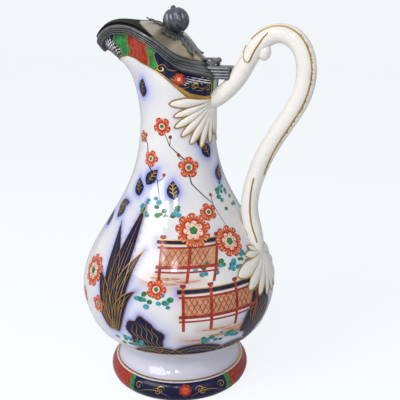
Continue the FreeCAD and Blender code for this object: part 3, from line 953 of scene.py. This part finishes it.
# Leaf sprigs: the root, the spread, and the share of the fan and of the length at each leaflet's tip.
neck_sprig = {"root": 3.0, "height": 216.8 * mm, "length": 37.5 * mm, "start": 183.0, "fan": 115.0,
              "radius": 26.6 * mm,
              "tips": ((0.0, 0.96), (0.13, 0.93), (0.23, 1.0), (0.33, 1.0), (0.44, 1.0), (0.55, 0.97),
                       (0.67, 0.86), (0.79, 0.7), (0.93, 0.56))}
base_sprig = {"root": 0.0, "height": 106.0 * mm, "length": 37.0 * mm, "start": 153.0, "fan": 234.0,
              "radius": 66.0 * mm,
              "tips": ((0.0, 0.47), (0.075, 0.62), (0.162, 1.0), (0.248, 0.93), (0.333, 0.86), (0.419, 0.82),
                       (0.5, 0.78), (0.581, 0.82), (0.667, 0.86), (0.752, 0.93), (0.838, 1.0), (0.925, 0.62),
                       (1.0, 0.47))}
leaflet_rise = 1.5 * mm
leaflet_foot = 0.35 * mm
leaflet_thickness = 0.5 * mm
leaflet_start = 0.04
leaflet_fill = 0.56
leaflet_tip = 0.34
leaflet_columns, leaflet_rows = 10, 24
leaflet_gilding = leaflet_foot + 0.35 * mm
leaflet_gilt_start = 0.3


def make_sprig(name, sprig, side, node):
    """A moulded sprig: rounded, pointed leaflets that spread from one root, edged with gilt."""
    turns = [sprig["start"] + sprig["fan"] * place for place, share in sprig["tips"]]
    leaflets, lines = [], []

    def lay(turn, length, along):
        distance = length * (leaflet_start + (1 - leaflet_start) * along)
        aside = distance * np.cos(np.radians(turn)) / sprig["radius"] - math.radians(sprig["root"])
        return side * aside, sprig["height"] + distance * np.sin(np.radians(turn))

    def lift(across, up):
        return leaflet_foot + leaflet_rise * (1 - (2 * across - 1) ** 2) * np.sin(math.pi * up ** 0.75) ** 0.5

    for turn, (place, share) in zip(turns, sprig["tips"]):
        gap = min(abs(turn - other) for other in turns if other != turn)
        length = sprig["length"] * share

        def spread(along):
            """Half of the leaflet's angle at shares of its length: full from its root, round at its tip."""
            return leaflet_fill * gap * np.minimum(1, ((1 - along) / leaflet_tip) ** 0.6)

        def where(across, up):
            return lay(turn + spread(up) * (2 * across - 1), length, up)
        leaflet = patch("leaflet", jug_wall, leaflet_columns, leaflet_rows, lift, where)
        thicken(leaflet, leaflet_thickness, side)
        leaflets.append(leaflet)
        for edge in (-1, 1):
            path = [lay(turn + edge * spread(along), length, along)
                    for along in np.linspace(leaflet_gilt_start, 1, 16)]
            stroke(lines, [(float(angle), float(height)) for angle, height in path], broad_line)
    piece = join(name, leaflets)
    face_outward(piece)
    finish(piece, glaze, ceramic, crease_cast, node)
    wrap_sheet(name + "_gilding", jug_wall, lines, gilt, leaflet_gilding)


def gild_line(piece, name, width):
    """Turn a curve into a round gilt brush line."""
    piece.data.bevel_depth = width / 2
    piece.data.bevel_resolution = 2
    piece.data.use_fill_caps = True
    take(piece)
    bpy.ops.object.convert(target="MESH")
    line = bpy.context.object
    line.name = name
    finish(line, gilt, ceramic, crease_soft)


# Brush lines on the handle's sides: a tongue at the front of the arch and a hem down the lower end,
# each through places given as x and z in millimetres.
handle_tongue = ((50.8, 253.1), (50.2, 249.5), (50.4, 246.0), (51.6, 243.2), (53.6, 242.4), (55.0, 243.8),
                 (56.2, 246.6), (58.3, 250.6), (61.2, 254.9), (64.2, 259.2), (67.1, 262.2))
handle_hem = ((59.8, 162.7), (58.6, 157.5), (57.7, 151.0), (57.3, 144.0), (57.4, 137.0), (58.4, 130.0),
              (60.0, 124.0), (61.8, 119.5), (63.0, 115.0))
handle_line_width = 1.15 * mm
# The gilding of the handle's strap follows its edges sharper than an angle, beyond a place and a height.
strap_crease = 18
strap_place, strap_low = 50 * mm, 120 * mm
strap_line_width = 1.3 * mm


def handle_line(name, side, places):
    """A gilt line on one side of the handle, where level rays meet it."""
    points = []
    for x, z in places:
        start = Vector((x * mm, side * cad_box[1].x, z * mm))
        hit, point = nodes["handle"].ray_cast(start, Vector((0, -side, 0)))[:2]
        if hit:
            points.append(point)
    bend = bpy.data.curves.new(name, "CURVE")
    bend.dimensions = "3D"
    line = bend.splines.new("POLY")
    line.points.add(len(points) - 1)
    for target, point in zip(line.points, points):
        target.co = (*point, 1)
    gild_line(new_object(name, bend), name, handle_line_width)


def gild_strap(name):
    """A gilt line along the sharp edges of the handle's strap."""
    piece = new_object(name, nodes["handle"].data.copy())
    edit(piece)
    bpy.ops.mesh.select_mode(type="EDGE")
    bpy.ops.mesh.remove_doubles(threshold=merge_distance)
    bpy.ops.mesh.select_all(action="DESELECT")
    bpy.ops.mesh.edges_select_sharp(sharpness=math.radians(strap_crease))
    drawing = bmesh.from_edit_mesh(piece.data)
    for edge in drawing.edges:
        middle = (edge.verts[0].co + edge.verts[1].co) / 2
        if edge.select and not (middle.x > strap_place and middle.z > strap_low):
            edge.select_set(False)
    bmesh.update_edit_mesh(piece.data)
    bpy.ops.mesh.select_all(action="INVERT")
    bpy.ops.mesh.delete(type="EDGE")
    end_edit()
    take(piece)
    bpy.ops.object.convert(target="CURVE")
    gild_line(bpy.context.object, name, strap_line_width)


# Border of the foot: two cobalt and two red panels between green tabs.
foot_panel = 80.0
foot_tab = 4.5
foot_border_low = 0.8 * mm
foot_border_high = 14.8 * mm
# Blue tint over the whole foot, partly painted shade on its cove.
foot_blue_and_shade = 0.3
foot_lifts = {"cobalt": 0.10 * mm, "red": 0.10 * mm, "green": 0.12 * mm, "gilt": 0.24 * mm}
foot_rows = 14
# Gilt scrolls: degrees from the panel's middle, height in millimetres and hand.
foot_scrolls = ((12, 9.5, -1), (22, 8.0, 1), (31, 9.5, -1))
# Flowers: degrees from the panel's middle, height and radii, and the level of the wall that they go round.
foot_flower, foot_flower_height_mm = 4, 9.5
foot_flower_radii_mm = {"red": 4.6, "orange": 2.6}
foot_flower_level = 9 * mm


def foot_patch(name, start, end, paint):
    columns = max(3, int((end - start) / 2))

    def where(across, up):
        return (np.radians(start + (end - start) * across),
                foot_border_low + (foot_border_high - foot_border_low) * up)
    piece = patch("foot_" + paint + "_" + name, foot_wall, columns, foot_rows, foot_lifts[paint], where)
    film_piece(piece, paints[paint])


def make_foot_border():
    lines, flowers = [], {paint: [] for paint in foot_flower_radii_mm}
    half = foot_panel / 2
    for middle, name in ((front, "front"), (front + 180, "back")):
        foot_patch(name, middle - half, middle + half, "cobalt")
        foot_patch(name, middle + half + foot_tab, middle + 180 - half - foot_tab, "red")
        for start in (middle - half - foot_tab, middle + half):
            foot_patch(name + "_" + str(int(start)), start, start + foot_tab, "green")
        for side in (-1, 1):
            for offset, height, hand in foot_scrolls:
                angle = math.radians(middle + side * offset)
                reach = foot_wall.radius(angle, height * mm)
                scroll = [(angle + side * x * mm / reach, (height + y * 0.8) * mm)
                          for x, y in spiral(3.4, 1.3, hand)]
                stroke(lines, scroll, 0.6 * mm, foot_wall, True)
            tendril = curve((8, 4.5), (20, 13), (36, 4.5), 16)
            path = [(math.radians(middle + side * x), y * mm) for x, y in tendril]
            stroke(lines, path, fine_line, foot_wall, True)
        angle = math.radians(middle + foot_flower)
        reach = float(foot_wall.radius(angle, foot_flower_level))
        for paint, radius in foot_flower_radii_mm.items():
            flowers[paint].append([(angle + x * mm / reach, (foot_flower_height_mm + y * 0.9) * mm)
                                   for x, y in rosette(radius, 7, 0.2)])
    turns = np.radians(np.linspace(0, 360, 145))
    for height, width in ((foot_border_high, 0.45), (foot_border_low, 0.4)):
        stroke(lines, [(angle, height) for angle in turns], width * mm, foot_wall)
    wrap_sheet("foot_gilding", foot_wall, lines, gilt, foot_lifts["gilt"])
    for paint, outlines in flowers.items():
        wrap_sheet("foot_flowers_" + paint, foot_wall, outlines, paints[paint], layer_lifts[paint])


# Edges of the collar's reeds as shares of its height: three fine ones under a broad one.
reed_edges = (0.0, 0.2, 0.4, 0.62, 1.0)
reed_depth = 1.2 * mm
# Share of the collar's section that is reeds, before its lip, and how dark the painted shade in the grooves
# is.
collar_body = 0.86
groove_width, groove_painted_shade = 0.3, 0.75


def reed_share(up):
    """Place across the reed that lies at a height, from 0 at its lower to 1 at its upper edge."""
    reed = np.clip(np.searchsorted(reed_edges, up, "right") - 1, 0, len(reed_edges) - 2)
    low, high = np.take(reed_edges, reed), np.take(reed_edges, reed + 1)
    return (up - low) / (high - low)


def make_collar():
    """The collar: rounded reeds with painted shade in the grooves between its two edges, then a lip over the
    rim.
    """
    piece, across, up = grid("collar", mouth_columns, 72)
    angle = across * full_turn
    body = np.clip(up / collar_body, 0, 1)
    over = np.clip((up - collar_body) / (1 - collar_body), 0, 1)
    swell = np.sqrt(np.sin(math.pi * np.clip(reed_share(body * 0.9999), 0, 1)))
    lift = np.where(up <= 0, 0, collar_out - reed_depth * (1 - swell))
    low, high = collar_edge(0, angle), collar_edge(1, angle)
    points = jug_wall.points(angle, low + (high - low) * body, lift)
    points[:, 0] -= over * collar_lip * np.cos(angle)
    points[:, 1] -= over * collar_lip * np.sin(angle)
    points[:, 2] = np.where(over > 0, rim(points[:, 0]), points[:, 2])
    set_points(piece, points)
    # Painted shade in the grooves between the reeds.
    groove = np.exp(-(np.sin(math.pi * reed_share(body)) / groove_width) ** 2)
    set_attribute(piece, "painted_shade", groove_painted_shade * np.where(over > 0, 0, groove))
    close_seam(piece)
    face_outward(piece)
    finish(piece, pewter, mount, crease_soft, "rim_collar")


def make_mouth():
    """The jug's wall as it is drawn in at the mouth, and the plaster between it and the collar."""
    bed_thickness, bed_start = 0.6 * mm, 1 * mm
    start = mouth_cut - mouth_overlap

    def wall_where(across, up):
        angle = across * full_turn
        return angle, start + (collar_edge(1, angle) - lip_thickness - start) * up

    def bed_where(across, up):
        angle = across * full_turn
        low, high = collar_edge(0, angle) + bed_start, collar_edge(1, angle) - lip_thickness
        return angle, low + (high - low) * up
    shell = patch("mouth_wall", jug_wall, mouth_columns, 36, 0, wall_where)
    bed = patch("collar_bed", jug_wall, mouth_columns, 8, bed_thickness, bed_where)
    for piece, thickness in ((shell, wall_thickness), (bed, bed_thickness)):
        close_seam(piece)
        thicken(piece, thickness)
    finish(shell, glaze, ceramic, crease_cast)
    finish(bed, plaster, bedding, crease_cast, "rim_bedding")


# The lid: a thin plate that follows the rim, with a nose over the spout and a mound under the finial.
lid_gap = 0.3 * mm
lid_thickness = 1.4 * mm
lid_out = 1.7 * mm
lid_turns = (14.0, 176.5)
# How far the plate rises over the rim along its middle: places and rises.
crown_points = mm * np.array(((-63.1, 3.07), (-58.3, 4.23), (-52.7, 4.82), (-46.4, 3.65), (-41.1, 2.41),
                              (-32.1, 0.95), (-25.0, 0.73), (-17.0, 1.68), (-8.0, 3.65), (2.2, 5.33),
                              (8.0, 7.08), (11.0, 6.72), (14.3, 4.53), (18.0, 2.34), (21.0, 0.44),
                              (25.0, 0)))
crown = bent_line(*crown_points.T)
# Shape of the rise across the plate, and the share of it on the flanks at the front and the back.
arch_middle = bent_line((-1, -0.5, 0, 0.5, 1), (0, 0, 1, 0, 0))
arch_flank = bent_line((-1, -0.5, 0, 0.5, 1), (0, 1, 0, 1, 0))
flank_places, flank_shares = (-59.5 * mm, 19.5 * mm), (0.75, 0.3)
# How much of the half-width is painted black shade from the edge in, at places along the plate.
lid_shade_places_mm, lid_shade_shares = (-30, -22, -16, -9, -2), (1.3, 0.5, 0.26, 0.1, 0)
lid_shade_fade = 0.06
lid_angles = np.radians(np.linspace(*lid_turns, 90))
lid_edge = rim_edge(lid_angles, lid_out)[0]
lid_places, lid_halves = lid_edge * np.cos(lid_angles), lid_edge * np.sin(lid_angles)


def lid_top(x, across):
    """Height of the lid's top at places along it and shares of its half-width."""
    flank = np.interp(x, flank_places, flank_shares)
    return rim(x) + lid_gap + lid_thickness + crown(x) * (arch_middle(across) + flank * arch_flank(across))


def lid_over(x, y):
    """Height of the lid's top at places along and across it."""
    half = np.interp(x, lid_places[::-1], lid_halves[::-1])
    return lid_top(x, np.clip(y / half, -1, 1))


lid_leaf_width = 10 * mm
lid_leaf_thickness = 0.6 * mm
lid_leaf_foot, lid_leaf_rise, lid_leaf_curl = 0.5 * mm, 1.3 * mm, 1.6 * mm
lid_leaf_lobes, lid_lobe_depth = 4, 0.3
lid_leaf_ribs, lid_rib_slant = 5, 1.2
# How dark the painted shade in the leaves' hollows is.
hollow_painted_shade = 0.7
finial_place = 2.2 * mm
finial_seat = 260.5 * mm
# Each leaf's angle from the handle and its length.
lid_leaves = {"front": (180, 25 * mm), "near": (248, 18 * mm), "far": (112, 18 * mm),
              "rear_near": (332, 17 * mm), "rear_far": (28, 17 * mm)}


def make_lid_leaf(name, angle, length):
    """A cast leaf on the lid: lobed, ribbed, with painted shade in its hollows and curled up at its tip."""
    piece, along, up = grid("leaf_" + name, 30, 16)
    across = 2 * up - 1
    cosine, sine = math.cos(math.radians(angle)), math.sin(math.radians(angle))
    lobe = 1 - lid_lobe_depth * np.abs(np.sin(lid_leaf_lobes * math.pi * along))
    aside = lid_leaf_width / 2 * (0.06 + np.sin(math.pi * along ** 0.8)) * lobe * across
    x = finial_place + length * along * cosine - aside * sine
    y = length * along * sine + aside * cosine
    rib = np.abs(np.cos(math.pi * (lid_leaf_ribs * along - lid_rib_slant * np.abs(across))))
    swell = lid_leaf_rise * (1 - np.abs(across) ** 1.5) * (0.4 + 0.6 * rib)
    level = lid_over(x, y) + lid_leaf_foot + swell + lid_leaf_curl * along ** 3
    set_points(piece, np.stack([x, y, level], axis=-1))
    # Painted shade in the hollows between the ribs.
    set_attribute(piece, "painted_shade", hollow_painted_shade * (1 - rib))
    thicken(piece, lid_leaf_thickness)
    face_outward(piece)
    finish(piece, pewter, cover, crease_soft, "lid_leaf_" + name)


# The hinge: its axis is the joint's, its tail a straight reeded bar behind the collar.
hinge_middle = sum(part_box("hinge_pin"), Vector()) / 2
hinge_place, hinge_height = hinge_middle.x, hinge_middle.z
hinge_half = 7.0 * mm
knuckle_half = 3.0 * mm
knuckle_gap = 0.35 * mm
barrel_radius = 2.0 * mm
pin_radius, pin_over = 1.0 * mm, 0.4 * mm
post_radius, post_height, post_drop = 1.4 * mm, 4 * mm, 2.6 * mm
lug_start, lug_end = 14.0 * mm, 40.6 * mm
lug_low, lug_top = 230.3 * mm, 239.1 * mm
lug_bevel, lug_inset = 0.8 * mm, 0.6 * mm
lug_reed_radius = 1.1 * mm
lug_reeds = (0.14, 0.36, 0.58, 0.82)
# Turns that lay an upright rod along the jug or across it.
lie_along, lie_across = (0, math.pi / 2, 0), (math.pi / 2, 0, 0)
# The lid's half of the hinge: where it starts on the lid, and where it leaves it for the barrel.
strap_start, strap_thickness = 10.0 * mm, 1.2 * mm
strap_bridge = (17 * mm, 21 * mm)
# The flange under the lid: its angles round the spout, its thickness and its depth.
flange_turns = (122, 238)
flange_thickness, flange_depth = 1.2 * mm, 4 * mm


def rod(radius, depth, place, turn=(0, 0, 0)):
    """A round bar with its middle at a place, upright unless it is turned."""
    deselect()
    bpy.ops.mesh.primitive_cylinder_add(vertices=24, radius=radius, depth=depth)
    piece = bpy.context.object
    piece.rotation_euler = turn
    piece.location = place
    bpy.ops.object.transform_apply()
    return piece


def make_hinge():
    """The hinge's fixed bar with reeds along its sides and two knuckles, and its pin."""
    middle, length, tall = (lug_start + lug_end) / 2, lug_end - lug_start, lug_top - lug_low
    deselect()
    bpy.ops.mesh.primitive_cube_add(size=1)
    block = bpy.context.object
    block.scale = (length, 2 * (hinge_half - lug_inset), tall)
    block.location = (middle, 0, (lug_low + lug_top) / 2)
    bpy.ops.object.transform_apply()
    add_modifier(block, "BEVEL", width=lug_bevel, segments=3)
    pieces = [block]
    for side in (-1, 1):
        for share in lug_reeds:
            place = (middle, side * (hinge_half - lug_reed_radius), lug_low + tall * share)
            pieces.append(rod(lug_reed_radius, length - lug_inset, place, lie_along))
        width = hinge_half - knuckle_half - knuckle_gap
        aside = side * (hinge_half - width / 2)
        pieces.append(rod(barrel_radius, width, (hinge_place, aside, hinge_height), lie_across))
        pieces.append(rod(post_radius, post_height, (hinge_place, aside, hinge_height - post_drop)))
    plate = join("hinge_plate", pieces)
    pin = rod(pin_radius, 2 * hinge_half + pin_over, (hinge_place, 0, hinge_height), lie_across)
    pin.name = "hinge_rod"
    finish(plate, pewter, mount, crease_fine, "hinge_lug")
    finish(pin, pewter, mount, crease_fine, "hinge_pin")


def make_lid():
    """The lid's plate, with painted black shade over the spout and along its edges, its flange and its half
    of the hinge.
    """
    plate, along, up = grid("lid_plate", 110, 50)
    across = 2 * up - 1
    angle = np.radians(lid_turns[1] + (lid_turns[0] - lid_turns[1]) * along)
    distance = rim_edge(angle, lid_out)[0]
    x = distance * np.cos(angle)
    set_points(plate, np.stack([x, distance * np.sin(angle) * across, lid_top(x, across)], axis=-1))
    # Painted black shade over the spout and along the plate's edges.
    reach = np.interp(x, np.array(lid_shade_places_mm) * mm, lid_shade_shares)
    set_attribute(plate, "painted_shade", np.clip((reach - 1 + np.abs(across)) / lid_shade_fade, 0, 1))

    strap, along, up = grid("lid_tongue", 40, 8)
    x = strap_start + (hinge_place - strap_start) * along
    y = knuckle_half * (2 * up - 1)
    on_lid = lid_over(x, y) + strap_thickness
    bridge = (hinge_height + barrel_radius - on_lid) * ease(x, *strap_bridge)
    set_points(strap, np.stack([x, y, on_lid + bridge], axis=-1))

    def flange_where(across, up):
        angle = np.radians(flange_turns[0] + (flange_turns[1] - flange_turns[0]) * across)
        return angle, collar_edge(1, angle) + lid_gap - flange_depth * (1 - up)
    flange = patch("lid_flange", jug_wall, 60, 6, -wall_thickness - flange_thickness, flange_where)
    for piece, thickness in ((plate, lid_thickness), (strap, strap_thickness), (flange, flange_thickness)):
        thicken(piece, thickness)
    barrel = rod(barrel_radius, 2 * knuckle_half, (hinge_place, 0, hinge_height), lie_across)
    tongue = join("lid_tongue", [strap, barrel])
    # The plate's beige is a painted warm reflection.
    finish(plate, pewter_warm_reflection, cover, crease_cast, "lid_cover")
    finish(tongue, pewter, cover, crease_cast, "lid_strap")
    finish(flange, pewter, cover, crease_cast, "lid_bezel")


# The room: what the camera and reflections see, and how much of the sky lights the jug.
backdrop_code, floor_code = "#f2f6f9", "#eef2f5"
sky_light = 0.36
floor_size = 6
floor_glow, floor_glow_share = 1.15, 0.8
lamp_aim = (0, 0, 0.14)
# Each lamp's place, size and power.
lamps = {"key_softbox": ((-0.5, -0.9, 0.9), 0.7, 8.5), "fill_softbox": ((0.9, -0.7, 0.6), 0.9, 1.6),
         "window_left": ((-0.05, -0.8, 0.75), 0.09, 1.0), "window_right": ((0.22, -0.8, 0.72), 0.09, 1.0)}


def look(name, data, place, aim):
    """A camera or lamp at one place that looks at another."""
    holder = new_object(name, data)
    holder.location = place
    holder.rotation_euler = (Vector(aim) - Vector(place)).to_track_quat("-Z", "Y").to_euler()
    return holder


def make_camera():
    camera = bpy.data.cameras.new("camera")
    camera.lens = camera_lens_mm
    camera.clip_start = 0.01
    bpy.context.scene.camera = look("camera", camera, camera_place, camera_aim)


def make_lamp(name, place, size, power):
    lamp = bpy.data.lights.new(name, "AREA")
    lamp.size = size
    lamp.energy = power
    look(name, lamp, place, lamp_aim)


def make_room():
    """A pale floor and sky: the camera and reflections see the backdrop, the jug gets soft plain light."""
    world = bpy.data.worlds.new("studio")
    bpy.context.scene.world = world
    world.use_nodes = True
    rays = add_node(world, "LightPath", {})
    seen = rays["Is Camera Ray"]
    for kind in ("Is Glossy Ray", "Is Transmission Ray"):
        seen = add_node(world, "Math", {0: seen, 1: rays[kind]}, operation="MAXIMUM")[0]
    level = stretch(world, seen, start=sky_light, end=1)
    feed(world, world.node_tree.nodes["Background"], {"Color": backdrop_code, "Strength": level})
    deselect()
    bpy.ops.mesh.primitive_plane_add(size=floor_size)
    floor = bpy.context.object
    floor.name = "floor"
    material, shader = new_material("pale_floor")[:2]
    feed(material, shader, {"Base Color": floor_code, "Roughness": 0.9})
    glow = add_node(material, "Emission", {"Color": backdrop_code, "Strength": floor_glow})[0]
    camera_ray = add_node(material, "LightPath", {})["Is Camera Ray"]
    share = add_node(material, "Math", {0: camera_ray, 1: floor_glow_share}, operation="MULTIPLY")[0]
    both = add_node(material, "MixShader", {0: share, 1: shader.outputs[0], 2: glow})[0]
    feed(material, material.node_tree.nodes["Material Output"], {"Surface": both})
    floor.data.materials.append(material)


make_camera()
garden(front)
garden(front + 180)
make_border()
make_ridge()
make_foot_border()
for paint, outlines in sheets.items():
    wrap_sheet("painted_" + paint, jug_wall, outlines, paints[paint], layer_lifts[paint])
make_glaze()
for side, name in both_sides:
    make_sprig("neck_sprig_" + name, neck_sprig, -side, "neck_leaf_" + name)
    handle_line("handle_tongue_" + name, side, handle_tongue)
    handle_line("handle_hem_" + name, side, handle_hem)
make_sprig("base_sprig", base_sprig, 1, "base_leaf")
make_collar()
make_mouth()
make_hinge()
for name, (angle, length) in lid_leaves.items():
    make_lid_leaf(name, angle, length)
make_lid()
foot = dress("foot_ring", "foot", glaze, ceramic)
# The foot's even blue tint, partly painted shade.
set_attribute(foot, "flow_blue_and_shade", np.full(len(foot.data.vertices), foot_blue_and_shade))
dress("handle", "handle_scroll", glaze, ceramic)
dress("handle_bud", "scroll_bud", glaze, ceramic)
vessel = dress("jug_body", "jug_wall", glaze, ceramic)
edit(vessel)
bpy.ops.mesh.bisect(plane_co=(0, 0, mouth_cut), plane_no=(0, 0, 1), clear_outer=True)
end_edit()
finial_shift = float(lid_top(finial_place, 0)) - finial_seat
for node, name, metal in (("finial_calyx", "fruit_seat", pewter_dark), ("finial_fruit", "fruit", pewter_dark),
                          ("finial_tip", "fruit_nub", pewter_dark), ("finial_stud", "finial_post", pewter),
                          ("finial_nut", "finial_lock", pewter)):
    piece = dress(node, name, metal, cover)
    if metal is pewter_dark:
        add_modifier(piece, "SMOOTH", factor=0.5, iterations=12)
    edit(piece)
    bpy.ops.transform.translate(value=(0, 0, finial_shift))
    end_edit()
gild_strap("strap_gilding")

make_room()
for name, (place, size, power) in lamps.items():
    make_lamp(name, place, size, power)

bpy.context.scene.view_settings.view_transform = "Standard"
